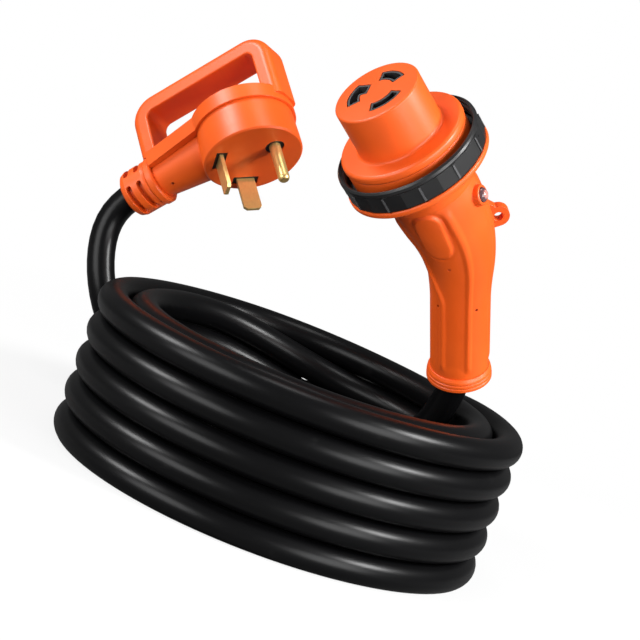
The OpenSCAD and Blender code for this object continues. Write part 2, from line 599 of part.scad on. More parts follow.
module grip_collar() color(orange) on_connector() on_grip(grip_len) rotate_extrude($fn = 96)
    polygon([[cord_r + 4.3, 0], [collar_r - 1, 0], [collar_r, 0.8], [collar_r, 2.4], [collar_r - 0.5, 2.9],
        [collar_r - 0.1, 3.4], [collar_r - 0.2, 4.6], [collar_r - 0.8, 5.1], [collar_r - 0.4, 5.6],
        [collar_r - 0.7, 6.8], [grip_r + 0.6, collar_h], [cord_r + 4.3, collar_h]]);
module grip_grommet() color(black) on_connector() on_grip(grip_len) rotate_extrude($fn = 96)
    polygon([[cord_r + 0.05, 1], [cord_r + 0.8, -2], [cord_r + 3.2, -2], [cord_r + 4.2, -1], [cord_r + 4.2, collar_h],
        [grip_r - 4.5, collar_h], [grip_r - 4.5, collar_h + 5], [cord_r + 0.05, collar_h + 5]]);

plug_body();
plug_handle();
plug_collar();
plug_strain_relief();
plug_core();
line_blade();
neutral_blade();
ground_pin();
plug_line_wire();
plug_neutral_wire();
plug_ground_wire();
plug_lead();
cord_coil();
connector_lead();
connector_body();
connector_nose();
contact_carrier();
line_contact();
neutral_contact();
ground_contact();
locking_ring();
led_lens();
led();
led_board();
led_wires();
connector_line_wire();
connector_neutral_wire();
connector_ground_wire();
grip_collar();
grip_grommet();
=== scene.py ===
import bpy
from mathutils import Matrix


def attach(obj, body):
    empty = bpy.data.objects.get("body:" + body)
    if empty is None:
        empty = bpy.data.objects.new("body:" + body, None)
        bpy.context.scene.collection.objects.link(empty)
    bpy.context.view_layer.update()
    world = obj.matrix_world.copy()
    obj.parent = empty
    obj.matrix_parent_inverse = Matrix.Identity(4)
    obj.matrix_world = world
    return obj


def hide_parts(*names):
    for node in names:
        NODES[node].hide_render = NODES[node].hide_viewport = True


bl_info = {
    "name": "Shore power cord",
    "version": (1, 0, 0),
    "blender": (4, 5, 0),
    "location": "3D View > Sidebar > Power cord",
    "description": "Surfaces, cable and small details for a coiled shore power cord",
    "category": "Add Mesh",
}

import math

import bmesh
import bpy
from bpy.props import FloatProperty, FloatVectorProperty, IntProperty, PointerProperty
from mathutils import Matrix, Vector

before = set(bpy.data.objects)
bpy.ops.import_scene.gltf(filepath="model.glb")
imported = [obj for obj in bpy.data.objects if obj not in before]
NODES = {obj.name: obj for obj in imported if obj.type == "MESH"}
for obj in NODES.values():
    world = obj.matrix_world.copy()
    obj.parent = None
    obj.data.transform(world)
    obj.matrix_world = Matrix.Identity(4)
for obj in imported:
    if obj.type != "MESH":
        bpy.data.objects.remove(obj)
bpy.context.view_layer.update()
MM = 0.001


# ------------------------------------------------------------------ places shared with the CAD
def turn(az, tilt, spin):
    return (Matrix.Rotation(math.radians(az), 4, "Z") @ Matrix.Rotation(math.radians(tilt), 4, "Y")
            @ Matrix.Rotation(math.radians(spin), 4, "Z"))


CABLE_D = 17.4
PITCH = CABLE_D + 0.9
CORD_R = CABLE_D / 2
COIL_R = 121.0
TURNS = 5
FLOOR_Z = CORD_R - CABLE_D / 10
RIM_Z = FLOOR_Z + (TURNS - 1) * PITCH + CORD_R

# where the plug's face and the grip's end are held, and where the neck ends on the plug's own axes
PLUG_AT = (-0.64 * COIL_R, 0.531 * COIL_R, RIM_Z + 88.2)
PLUG = Matrix.Translation(PLUG_AT) @ turn(-47.5, 128.5, -17.5)
NECK_END = (86, 0, -21.8)
COLLAR_AT = Vector((COIL_R - 2 * PITCH - 4.2, 10, RIM_Z + 18))
CONNECTOR_TURN = turn(-144.5, 56, -28.5)

SEAT_GAP = 0.3

RING_R = 40.9
RING_LEN = 13.4
NOSE_LEN = 28.5
FLANGE_T = 5.1
RING_Z1 = -NOSE_LEN - FLANGE_T - 1.4
RING_Z0 = RING_Z1 - RING_LEN
RING_LIP = 3.3
BELL_Z = RING_Z0 - SEAT_GAP
BELL_LEN = 18.0
NECK_R = 24.4
GRIP_R = 16.6
BEND = math.radians(25)
BEND_R = 82.0
BEND_FROM = -BELL_Z + 38.3
BEND_LEN = BEND_R * BEND
GRIP_STRAIGHT = 74.2
GRIP_LEN = BEND_FROM + BEND_LEN + GRIP_STRAIGHT
GRIP_WALL = 4.2
COLLAR_H = 8.4
NOSE_R = 24.0
NOSE_HOLLOW = NOSE_R - 3.2
FLANGE_Z = -NOSE_LEN
FLANGE_R = RING_R - 5.75
HUB_R = RING_R - 8.65
SHOULDER_R = HUB_R + 2.45
SHOULDER_Z = RING_Z0 + RING_LIP + SEAT_GAP
# the hub's mesh is this much inside the solid, clear of the ring that turns round it
HUB_GAP = 0.1
CARRIER_BASE = -28.0
FACE_T = 3.0
SLOT_R = 13.2
SLOT_GAP = 0.5
SLOT_RIM = 1.0
# middle angle, span, width, and the corners of the foot as radius and angle
SLOTS = ((-28, 63, 6.4, ((6.3, -31), (9.4, -77))), (-140, 57, 6.4, ()), (104, 68, 6.2, ()))


def grip_point(s):
    if s < BEND_FROM:
        return Vector((0, 0, -s))
    if s < BEND_FROM + BEND_LEN:
        a = (s - BEND_FROM) / BEND_R
        return Vector((BEND_R * (1 - math.cos(a)), 0, -BEND_FROM - BEND_R * math.sin(a)))
    e = s - BEND_FROM - BEND_LEN
    return Vector((BEND_R * (1 - math.cos(BEND)) + e * math.sin(BEND), 0,
                   -BEND_FROM - BEND_R * math.sin(BEND) - e * math.cos(BEND)))


def grip_angle(s):
    return min(max((s - BEND_FROM) / BEND_R, 0), BEND)


CONNECTOR = Matrix.Translation(COLLAR_AT - (CONNECTOR_TURN @ grip_point(GRIP_LEN))) @ CONNECTOR_TURN


def ease(x):
    c = min(max(x, 0.0), 1.0)
    return c * c * (3 - 2 * c)


# ------------------------------------------------------------------ settings
class CordSizes(bpy.types.PropertyGroup):
    """Fineness of the cable and sizes of the ring's thread"""
    sides: IntProperty(
        name="Cable sides", description="Corners round the cable", default=28, min=12, max=64)
    spacing: FloatProperty(
        name="Ring spacing", description="Distance between rings along the cable, in millimetres",
        default=7.0, min=3.0, max=20.0)
    thread_turns: FloatProperty(
        name="Thread turns", description="Turns of the thread inside the locking ring",
        default=2.4, min=1.0, max=4.0)
    thread_pitch: FloatProperty(
        name="Thread pitch", description="Rise of the thread in one turn, in millimetres",
        default=3.0, min=1.5, max=4.0)


class CordColours(bpy.types.PropertyGroup):
    """Main colours of the cord"""
    shell: FloatVectorProperty(
        name="Shell", description="Moulded plastic of plug and connector",
        subtype="COLOR", size=3, default=(0.88, 0.110, 0.010), min=0, max=1)
    jacket: FloatVectorProperty(
        name="Jacket", description="Cable jacket",
        subtype="COLOR", size=3, default=(0.0028, 0.0028, 0.0031), min=0, max=1)
    ring: FloatVectorProperty(
        name="Ring", description="Locking ring",
        subtype="COLOR", size=3, default=(0.012, 0.012, 0.0125), min=0, max=1)
    brass: FloatVectorProperty(
        name="Brass", description="Blades, pin and contacts",
        subtype="COLOR", size=3, default=(0.98, 0.64, 0.24), min=0, max=1)
    lens: FloatVectorProperty(
        name="Lens", description="Cover of the power light",
        subtype="COLOR", size=3, default=(0.86, 0.36, 0.31), min=0, max=1)


# ------------------------------------------------------------------ shader expressions
class Value:
    """A socket or a number in a node tree, with arithmetic that adds Math nodes."""

    def __init__(self, net, socket):
        self.net = net
        self.socket = socket

    def _math(self, operation, other):
        return self.net.node("ShaderNodeMath", {"operation": operation}, {0: self, 1: other})["Value"]

    def __add__(self, o):
        return self._math("ADD", o)

    __radd__ = __add__

    def __mul__(self, o):
        return self._math("MULTIPLY", o)

    __rmul__ = __mul__

    def smooth(self, low, high):
        """0 up to the low value and 1 from the high one, with a soft step between."""
        return self.net.node("ShaderNodeMapRange", {"interpolation_type": "SMOOTHSTEP"},
                             {"Value": self, "From Min": low, "From Max": high})["Result"]


class Outputs:
    """Output sockets of a node, by name."""

    def __init__(self, net, node):
        self.net = net
        self.node = node

    def __getitem__(self, name):
        return Value(self.net, self.node.outputs[name])


class Net:
    """Node tree of a material or of the world, round the shader that it starts with."""

    def __init__(self, owner, shader="Principled BSDF"):
        self.owner = owner
        owner.use_nodes = True
        self.tree = owner.node_tree
        self.shader = self.tree.nodes[shader]

    def node(self, kind, settings=None, sockets=None):
        made = self.tree.nodes.new(kind)
        for key, value in (settings or {}).items():
            setattr(made, key, value)
        for key, value in (sockets or {}).items():
            self.put(made.inputs[key], value)
        return Outputs(self, made)

    def put(self, socket, value):
        if isinstance(value, Value):
            self.tree.links.new(value.socket, socket)
        elif value is not None:
            if hasattr(value, "__len__") and len(value) == 3 and socket.type == "RGBA":
                value = (*value, 1.0)
            socket.default_value = value

    def set(self, **sockets):
        for key, value in sockets.items():
            self.put(self.shader.inputs[key.replace("_", " ")], value)
        return self.owner

    def blend(self, factor, other, output):
        """Mixes another shader over the first one and links the result to the output node."""
        first = Value(self, self.shader.outputs[0])
        mixed = self.node("ShaderNodeMixShader", {}, {0: factor, 1: first, 2: other})["Shader"]
        self.put(self.tree.nodes[output].inputs["Surface"], mixed)

    def place(self, scale=(1, 1, 1)):
        at = self.node("ShaderNodeTexCoord")["Object"]
        return self.node("ShaderNodeVectorMath", {"operation": "MULTIPLY"}, {0: at, 1: scale})["Vector"]

    def noise(self, scale, detail=3.0, rough=0.55, at=None):
        sockets = {"Vector": at or self.place(), "Scale": scale, "Detail": detail, "Roughness": rough}
        return self.node("ShaderNodeTexNoise", {"noise_dimensions": "3D"}, sockets)["Fac"]

    def mix(self, factor, a, b):
        made = self.node("ShaderNodeMix", {"data_type": "RGBA"}, {"Factor": factor})
        ins = [s for s in made.node.inputs if s.type == "RGBA"]
        self.put(ins[0], a)
        self.put(ins[1], b)
        return Value(self, [s for s in made.node.outputs if s.type == "RGBA"][0])

    def bump(self, height, strength, distance, edge=0.0):
        soft = self.node("ShaderNodeBevel", {"samples": 4}, {"Radius": edge})["Normal"] if edge else None
        sockets = {"Height": height, "Strength": strength, "Distance": distance, "Normal": soft}
        return self.node("ShaderNodeBump", {}, sockets)["Normal"]

    def off_axis(self, place):
        """Distance from the Z axis of a placed piece."""
        at = self.node("ShaderNodeTexCoord")["Object"]
        vector = {"operation": "SUBTRACT"}
        centre = tuple(place.translation * MM)
        rel = self.node("ShaderNodeVectorMath", vector, {0: at, 1: centre})["Vector"]
        axis = tuple(place.to_3x3() @ Vector((0, 0, 1)))
        on_axis = self.node("ShaderNodeVectorMath", {"operation": "PROJECT"}, {0: rel, 1: axis})["Vector"]
        out = self.node("ShaderNodeVectorMath", vector, {0: rel, 1: on_axis})["Vector"]
        return self.node("ShaderNodeVectorMath", {"operation": "LENGTH"}, {0: out})["Value"]

    def open_sky(self, reach):
        """1 in the open, 0 deep in a crease; the materials darken their colour with it as painted shade."""
        return self.node("ShaderNodeAmbientOcclusion", {"samples": 6}, {"Distance": reach})["AO"]


def fresh(name):
    """Node tree of a new material."""
    return Net(bpy.data.materials.new(name))


def shade(c, k):
    return tuple(min(1.0, x * k) for x in c)


# names of the finishes that pieces look up
SHELL = "moulded orange shell"
FRAME = "grey contact frame"
# colours of painted shade in hollows, dust, scuffs that are partly painted highlight, tarnish and the lens's
# edge
HOLLOW_SHADE = (0.002, 0.002, 0.002)
DUST = (0.10, 0.10, 0.10)
SCUFF_AND_HIGHLIGHT = (0.13, 0.13, 0.135)
TARNISH = (0.62, 0.38, 0.15)
LENS_RIM = (0.17, 0.10, 0.11)


def shell_plastic(colour):
    net = fresh(SHELL)
    cloud = net.noise(22.0, 3.0)
    grain = net.noise(1500.0, 2.0, 0.6)
    speck = net.noise(420.0, 2.0)
    # painted shade: the open-sky mask darkens the orange to half in creases, grooves and pin-holes
    crease = net.open_sky(0.004).smooth(0.05, 0.65)
    warm = (min(1.0, colour[0] * 1.03), colour[1] * 1.1, colour[2] * 1.2)
    base = net.mix(cloud.smooth(0.35, 0.7), shade(colour, 0.95), warm)
    base = net.mix(crease, shade(colour, 0.50), base)
    return net.set(Base_Color=base, Roughness=0.31 + 0.08 * cloud + 0.08 * speck,
                   Normal=net.bump(grain * 0.6 + speck * 0.4, 0.24, 0.00008, 0.0006),
                   Specular_IOR_Level=0.46)


# stretch of the jacket's streaks: along the cable, round it
STREAK = (6.0, 60.0, 1.0)


def jacket_rubber(colour):
    net = fresh("black cable jacket")
    uv = net.node("ShaderNodeTexCoord")["UV"]
    streak = net.node("ShaderNodeVectorMath", {"operation": "MULTIPLY"}, {0: uv, 1: STREAK})["Vector"]
    lines = net.noise(1.0, 3.0, 0.5, streak)
    cloud = net.noise(16.0, 3.0)
    grain = net.noise(1800.0, 2.0)
    dust = net.noise(60.0, 4.0, 0.65).smooth(0.62, 0.8)
    base = net.mix(cloud, shade(colour, 0.85), shade(colour, 1.25))
    base = net.mix(dust * 0.05, base, DUST)
    return net.set(Base_Color=base, Roughness=0.24 + 0.08 * lines + 0.06 * cloud + 0.1 * dust,
                   Normal=net.bump(grain * 0.35 + lines * 0.65, 0.14, 0.00008), Specular_IOR_Level=0.19)


def ring_plastic(colour):
    net = fresh("charcoal locking ring")
    grain = net.noise(1300.0, 2.0)
    cloud = net.noise(45.0, 3.0)
    proud = net.off_axis(CONNECTOR).smooth((RING_R - 0.5) * MM, (RING_R - 0.1) * MM)
    # lighter grey on the proud ribs, varied by noise: partly wear, partly painted highlight on the rib edges
    wear_and_highlight = proud * (0.5 + 0.5 * net.noise(120.0))
    base = net.mix(cloud, shade(colour, 0.8), shade(colour, 1.25))
    base = net.mix(wear_and_highlight * 0.8, base, SCUFF_AND_HIGHLIGHT)
    return net.set(Base_Color=base, Roughness=0.28 + 0.12 * cloud,
                   Normal=net.bump(grain, 0.15, 0.00005, 0.0003), Specular_IOR_Level=0.55)


def dark_plastic(name, colour, rough=0.45, reach=0.0):
    """Grained plastic, with black painted shade in hollows deeper than the reach where one is given."""
    net = fresh(name)
    grain = net.noise(1400.0, 2.0)
    cloud = net.noise(70.0, 3.0)
    base = net.mix(cloud, shade(colour, 0.8), shade(colour, 1.3))
    if reach:
        # painted shade: black where the hollows are occluded within the reach
        base = net.mix(net.open_sky(reach).smooth(0.35, 0.8), HOLLOW_SHADE, base)
    return net.set(Base_Color=base, Roughness=rough + 0.1 * cloud, Normal=net.bump(grain, 0.12, 0.00005))


def brass_metal(colour):
    net = fresh("brushed brass")
    along = net.place((900.0, 900.0, 90.0))
    brushed = net.noise(1.0, 2.0, 0.5, along)
    tarnish = net.noise(140.0, 4.0, 0.6).smooth(0.5, 0.75)
    base = net.mix(brushed, shade(colour, 0.88), shade(colour, 1.12))
    base = net.mix(tarnish * 0.18, base, TARNISH)
    return net.set(Base_Color=base, Metallic=0.72, Roughness=0.28 + 0.12 * brushed + 0.1 * tarnish,
                   Normal=net.bump(brushed, 0.10, 0.00004, 0.0004))


def wire_skin(name, colour):
    net = fresh(name)
    cloud = net.noise(180.0, 2.0)
    base = net.mix(cloud, shade(colour, 0.85), shade(colour, 1.15))
    return net.set(Base_Color=base, Roughness=0.38 + 0.1 * cloud,
                   Normal=net.bump(net.noise(2200.0), 0.1, 0.00004))


def lens_plastic(colour):
    net = fresh("clear lens")
    ripple = net.noise(300.0, 2.0)
    edge = net.off_axis(LIGHT).smooth(1.6 * MM, 3.0 * MM)
    base = net.mix(edge, net.mix(ripple, colour, shade(colour, 1.15)), LENS_RIM)
    return net.set(Base_Color=base, Roughness=0.06 + 0.05 * ripple,
                   Transmission_Weight=0.35, IOR=1.49, Normal=net.bump(ripple, 0.04, 0.0001))


# ------------------------------------------------------------------ helpers
def made(name, mesh, material, body="cord", slot=None, smooth=True):
    obj = bpy.data.objects.new(name, mesh)
    bpy.context.scene.collection.objects.link(obj)
    mesh.materials.append(material)
    if smooth:
        for p in mesh.polygons:
            p.use_smooth = True
    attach(obj, body)
    return obj


def mesh_from(name, verts, faces, uvs=None):
    mesh = bpy.data.meshes.new(name)
    mesh.from_pydata([tuple(v) for v in verts], [], faces)
    if uvs:
        layer = mesh.uv_layers.new(name="UVMap")
        for loop in mesh.loops:
            layer.data[loop.index].uv = uvs[loop.vertex_index]
    mesh.update()
    return mesh


def dress(names, material):
    for name in names:
        obj = NODES[name]
        if not obj.material_slots:
            obj.data.materials.append(material)
        for s in obj.material_slots:
            s.material = material


def frames_along(line, normal):
    """Tangents, and a side vector carried along without twist."""
    n = len(line)
    out = []
    side = normal
    for i in range(n):
        t = (line[min(i + 1, n - 1)] - line[max(i - 1, 0)]).normalized()
        side = (side - t * side.dot(t)).normalized()
        out.append((line[i], t, side, t.cross(side)))
    return out


# ------------------------------------------------------------------ the cable's route
def round_at(a, r, z):
    a = math.radians(a)
    return Vector((r * math.cos(a), r * math.sin(a), z))


# in degrees, the length of a climb, the step between the starts of climbs and the start of the winding;
# in pitches, how far the inner end is set in
SHIFT, LEAD, W_IN, END_IN = 70, 20, 100, 1.3
W_OUT = 720 * TURNS + SHIFT


def coil_point(w):
    """Middle of the cable after w degrees of winding: up the outer wall, then down the inner one."""
    z = sum(ease((w - 360 * k - 4 * LEAD) / SHIFT) for k in range(1, TURNS))
    z -= sum(ease((w - 360 * k - 2 * LEAD) / SHIFT) for k in range(TURNS + 1, 2 * TURNS))
    r = COIL_R + PITCH * (1 - ease((w - 5 * LEAD) / SHIFT))
    r -= PITCH * ease((w - 360 * TURNS - 3 * LEAD) / SHIFT)
    r -= END_IN * PITCH * ease((w - 720 * TURNS) / SHIFT)
    return round_at(180 - w, r, FLOOR_Z + PITCH * z)


def along(a):
    """Direction of winding at an angle round the coil."""
    a = math.radians(a)
    return Vector((math.sin(a), -math.cos(a), 0))


COIL_START = coil_point(W_IN) - along(180 - W_IN) * CABLE_D
COIL_END = coil_point(W_OUT) + along(180 - W_OUT) * CABLE_D
PLUG_EXIT = PLUG @ Vector(NECK_END)
PLUG_AWAY = (PLUG.to_3x3() @ Vector((1, 0, 0))).normalized()
CONNECTOR_EXIT = CONNECTOR @ grip_point(GRIP_LEN)
CONNECTOR_AWAY = (CONNECTOR.to_3x3() @ Vector((math.sin(BEND), 0, -math.cos(BEND)))).normalized()
WALL = COIL_R + PITCH
CORE_R = COIL_R - 2 * PITCH
# length of cable inside the plug and inside the grip
IN_PLUG, IN_GRIP = 25, 28
# cuts in a stretch of a spline, degrees between points of the coil, passes that even out the line,
# and the length that they leave alone at each end
SPLINE_CUTS, COIL_STEP, EASE_PASSES, EASE_KEEP = 10, 3, 10, 30
# points of the two free leads: angle, distance from the wall, share of the coil's height
PLUG_ROUTE = [(147.6, 38, 0.99), (148.4, 26.5, 0.78), (146, 15.5, 0.56), (139.5, 7.5, 0.36),
              (127.5, 3, 0.19), (112.5, 0.8, 0.1)]
CONNECTOR_ROUTE = [(82, -3.4, 0.12), (66, -3, 0.21), (50, -2.8, 0.35), (36, -2.6, 0.52), (25, -2.4, 0.71),
                   (17, -2, 0.91)]


def curve_through(points, cuts):
    """Line through all the points, curved from the second to the last but one."""
    out = [points[0]]
    for i in range(1, len(points) - 2):
        a, b, c, d = points[i - 1:i + 3]
        for k in range(cuts):
            t = k / cuts
            out.append(0.5 * (2 * b + (c - a) * t + (2 * a - 5 * b + 4 * c - d) * t * t
                              + (3 * b - a - 3 * c + d) * t * t * t))
    return out + points[-2:]


def spaced(points, step):
    """The same line with its points an even distance apart."""
    total = [0.0]
    for a, b in zip(points, points[1:]):
        total.append(total[-1] + (b - a).length)
    count = max(2, round(total[-1] / step))
    out, j = [], 0
    for i in range(count + 1):
        at = total[-1] * i / count
        while j < len(total) - 2 and total[j + 1] < at:
            j += 1
        span = total[j + 1] - total[j]
        out.append(points[j].lerp(points[j + 1], (at - total[j]) / span if span else 0))
    return out


def relaxed(points, passes, keep):
    """Evens out the corners, apart from the points kept at both ends."""
    out = list(points)
    for _ in range(passes):
        out = [p if i < keep or i >= len(out) - keep else (out[i - 1] + 2 * p + out[i + 1]) / 4
               for i, p in enumerate(out)]
    return out


def cable_line(step):
    """The cable's middle from inside the plug to inside the grip, in metres."""
    plug_side = curve_through(
        [PLUG_EXIT - PLUG_AWAY * IN_PLUG, PLUG_EXIT, PLUG_EXIT + PLUG_AWAY * CABLE_D]
        + [round_at(a, WALL + q, h * RIM_Z) for a, q, h in PLUG_ROUTE]
        + [COIL_START - along(180 - W_IN) * CABLE_D, COIL_START], SPLINE_CUTS)
    wound = [coil_point(W_IN + k * COIL_STEP) for k in range(int((W_OUT - W_IN) / COIL_STEP) + 1)]
    connector_side = curve_through(
        [COIL_END, COIL_END + along(180 - W_OUT) * 4]
        + [round_at(a, CORE_R + q, h * RIM_Z) for a, q, h in CONNECTOR_ROUTE]
        + [CONNECTOR_EXIT + CONNECTOR_AWAY * 6, CONNECTOR_EXIT,
           CONNECTOR_EXIT - CONNECTOR_AWAY * IN_GRIP], SPLINE_CUTS)
    line = spaced(plug_side + wound + connector_side, step)
    line = relaxed(line, EASE_PASSES, int(EASE_KEEP / step))
    return [p * MM for p in line]


# ------------------------------------------------------------------ operators
# place in millimetres, directions of the picture's right side and of the view, lens in millimetres
CAMERA_AT = (-5.72, -1034.96, 242.67)
CAMERA_RIGHT = (0.9336, 0.046, 0.3554)
CAMERA_AHEAD = (0.0, 0.9917, -0.1284)
CAMERA_LENS = 102.9


class CORD_OT_camera(bpy.types.Operator):
    """Camera and render view"""
    bl_idname = "power_cord.camera"
    bl_label = "Camera"

    def execute(self, context):
        scene = context.scene
        right = Vector(CAMERA_RIGHT).normalized()
        forward = Vector(CAMERA_AHEAD)
        forward = (forward - right * forward.dot(right)).normalized()
        up = right.cross(forward)
        data = bpy.data.cameras.new("camera")
        data.sensor_width = 36.0
        data.lens = CAMERA_LENS
        data.clip_end = 20
        cam = bpy.data.objects.new("camera", data)
        at = Vector(CAMERA_AT) * MM
        turned = Matrix((right, up, -forward)).transposed().to_4x4()
        cam.matrix_world = Matrix.Translation(at) @ turned
        scene.collection.objects.link(cam)
        scene.camera = cam
        scene.view_settings.view_transform = "Standard"
        return {"FINISHED"}


class CORD_OT_cable(bpy.types.Operator):
    """The whole cable as one smooth tube: plug lead, coil, connector lead"""
    bl_idname = "power_cord.cable"
    bl_label = "Cable"

    def execute(self, context):
        sizes = context.scene.cord_sizes
        line = cable_line(sizes.spacing)
        n = sizes.sides
        r = CORD_R * MM
        verts, uvs, faces = [], [], []
        at = 0.0
        rings = frames_along(line, Vector((0, 0, 1)))
        for i, (p, _, a, b) in enumerate(rings):
            if i:
                at += (p - line[i - 1]).length
            for k in range(n + 1):
                w = 2 * math.pi * k / n
                v = p + (a * math.cos(w) + b * math.sin(w)) * r
                v.z = max(v.z, 0.0)
                verts.append(v)
                uvs.append((at, k / n))
        m = n + 1
        for i in range(len(rings) - 1):
            for k in range(n):
                faces.append((i * m + k, i * m + k + 1, (i + 1) * m + k + 1, (i + 1) * m + k))
        faces.append(tuple(range(n - 1, -1, -1)))
        faces.append(tuple((len(rings) - 1) * m + k for k in range(n)))
        mesh = mesh_from("cable", verts, faces, uvs)
        bm = bmesh.new()
        bm.from_mesh(mesh)
        bmesh.ops.remove_doubles(bm, verts=bm.verts, dist=1e-7)
        bmesh.ops.recalc_face_normals(bm, faces=bm.faces)
        bm.to_mesh(mesh)
        bm.free()
        cable = made("cable", mesh, jacket_rubber(context.scene.cord_colours.jacket), slot="cable_jacket")
        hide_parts("plug_lead", "cord_coil", "connector_lead")
        length = sum((b - a).length for a, b in zip(line, line[1:]))
        return {"FINISHED"}


# ------------------------------------------------------------------ grip of the connector
SWEEP_FROM = -BELL_Z + BELL_LEN - 1.6
SWEEP_TO = GRIP_LEN - COLLAR_H
TAPER_LEN = 74
# where the side panels start to narrow and over what length; then in degrees their middle, how far it
# moves, their half width and what it loses, and the soft edge; then in millimetres the heights
NARROW_FROM, NARROW_LEN = 112, 28
PANEL_TURN, PANEL_SHIFT = 55, 17
PANEL_HALF, PANEL_LOSS = 40, 16
PANEL_SOFT = 6
SPINE_H, RIDGE_H, RECESS_H, PAD_H, GROOVE_H = 0.8, 0.9, 0.5, 1.15, 0.4
# oval pad: distance down the grip, angle round it, slant, width and length
PAD_S, PAD_TURN, PAD_TILT, PAD_W, PAD_LEN = 84.0, 65.0, math.radians(9), 16.0, 34.0
# power light: distance down the grip, place off its middle and radius
LED_S, LED_X, LED_R = 77.0, -26.4, 4.0
LED_TURN = math.radians(-28)
SIDEWAYS = Matrix.Rotation(math.radians(90), 4, "Y")
ACROSS = Matrix.Rotation(math.radians(90), 4, "X")
LIGHT = (CONNECTOR @ Matrix.Rotation(LED_TURN, 4, "Z") @ Matrix.Translation((LED_X, 0, -LED_S)) @ SIDEWAYS)
# lanyard eye: distance down the grip, place off its middle, radii of its hole and edge, half thickness
LUG_S, LUG_X, LUG_HOLE, LUG_R, LUG_HALF = 100.5, -24.8, 2.6, 6.2, 2.5
# pin-holes of the moulding: distance down the grip, angle round it
PIN_HOLES = ((111, 66), (141, 35), (142, 115))
PIN_HOLE_R, PIN_HOLE_DEPTH = 0.85, 1.2
# radius that stands for the axis in a turned profile, the distance that joins points after a carve,
# and the angle in degrees from which an edge stays sharp
POLE = 0.01
WELD = 0.004
SHARP = 40


def within(x, half, edge):
    """1 inside the half width and 0 beyond a soft edge."""
    return ease((half + edge - abs(x)) / edge)


def grip_base(s):
    return NECK_R + (GRIP_R - NECK_R) * ease((s - SWEEP_FROM - 4) / TAPER_LEN)


def pad_distance(s, u):
    """Distance in the surface from the outline of the oval pad, negative inside it."""
    d = s - PAD_S
    arc = math.radians(u - PAD_TURN) * grip_base(s)
    x = d * math.cos(PAD_TILT) - arc * math.sin(PAD_TILT)
    y = d * math.sin(PAD_TILT) + arc * math.cos(PAD_TILT)
    return math.hypot(max(abs(x) - (PAD_LEN - PAD_W) / 2, 0), y) - PAD_W / 2


def grip_radius(s, t):
    """Radius of the grip with its spine, side panels and oval pads, at a place and an angle."""
    u = abs(t - 360 if t > 180 else t)
    fade = ease((s - SWEEP_FROM - 2) / 8) * ease((SWEEP_TO - 3 - s) / 6)
    narrow = ease((s - NARROW_FROM) / NARROW_LEN)
    p = u - (PANEL_TURN + PANEL_SHIFT * narrow)
    half = PANEL_HALF - PANEL_LOSS * narrow
    spine = SPINE_H * within(u - 180, 16, PANEL_SOFT)
    ridge = RIDGE_H * within(abs(p) - half - 3, 2, PANEL_SOFT)
    recess = RECESS_H * within(p, half - 6, PANEL_SOFT)
    d = pad_distance(s, u)
    pad = PAD_H * ease((0.9 - d) / 1.8) - GROOVE_H * math.exp(-((d - 1.5) / 0.7) ** 2)
    return grip_base(s) + fade * (spine + ridge - recess) + pad


def bent(s, x, y):
    """A point beside the grip's centre line."""
    b = grip_angle(s)
    return grip_point(s) + Vector((x * math.cos(b), y, x * math.sin(b)))


def swept(rings, sides, radius, flip):
    """Open tube along the grip, from a radius at each place and angle."""
    verts, faces = [], []
    for i in range(rings):
        s = SWEEP_FROM + (SWEEP_TO - SWEEP_FROM) * i / (rings - 1)
        for k in range(sides):
            t = 360 * k / sides
            r = radius(s, t)
            verts.append(bent(s, r * math.cos(math.radians(t)), r * math.sin(math.radians(t))))
    for i in range(rings - 1):
        for k in range(sides):
            a, b = i * sides + k, i * sides + (k + 1) % sides
            quad = (a, b, b + sides, a + sides)
            faces.append(quad[::-1] if flip else quad)
    return verts, faces


def lathe(profile, sides):
    """Closed turned solid from a profile of radius and height, with radius POLE for points on the axis."""
    n = len(profile)
    verts = [Vector((r * math.cos(2 * math.pi * k / sides), r * math.sin(2 * math.pi * k / sides), z))
             for k in range(sides) for r, z in profile]
    faces = [(k * n + i, ((k + 1) % sides) * n + i, ((k + 1) % sides) * n + (i + 1) % n, k * n + (i + 1) % n)
             for k in range(sides) for i in range(n) if max(profile[i][0], profile[(i + 1) % n][0]) > POLE]
    return verts, faces


def rounded(profile, radius, cuts=3):
    """Every corner of a closed profile cut by a short curve, apart from those on the axis."""
    out = []
    n = len(profile)
    for i in range(n):
        if profile[i][0] <= POLE:
            out.append(profile[i])
            continue
        a, b, c = Vector(profile[i - 1]), Vector(profile[i]), Vector(profile[(i + 1) % n])
        r = min(radius, (b - a).length * 0.45, (c - b).length * 0.45)
        p, q = b + (a - b).normalized() * r, b + (c - b).normalized() * r
        for j in range(cuts + 1):
            t = j / cuts
            out.append(tuple((1 - t) ** 2 * p + 2 * t * (1 - t) * b + t * t * q))
    return out


def prism(outline, low, high):
    """Solid with straight sides over a counterclockwise outline."""
    n = len(outline)
    verts = [Vector((x, y, low)) for x, y in outline] + [Vector((x, y, high)) for x, y in outline]
    faces = [tuple(range(n - 1, -1, -1)), tuple(range(n, 2 * n))]
    faces += [(i, (i + 1) % n, n + (i + 1) % n, n + i) for i in range(n)]
    return verts, faces


def grown(outline, by):
    """Counterclockwise outline moved outwards by a distance, its corners kept sharp."""
    out = []
    for i, b in enumerate(outline):
        a, b, c = Vector(outline[i - 1]), Vector(b), Vector(outline[(i + 1) % len(outline)])
        p, q = (b - a).normalized(), (c - b).normalized()
        p, q = Vector((p.y, -p.x)), Vector((q.y, -q.x))
        out.append(tuple(b + (p + q) * (by / (1 + p.dot(q)))))
    return out


def polar(r, a):
    return r * math.cos(math.radians(a)), r * math.sin(math.radians(a))


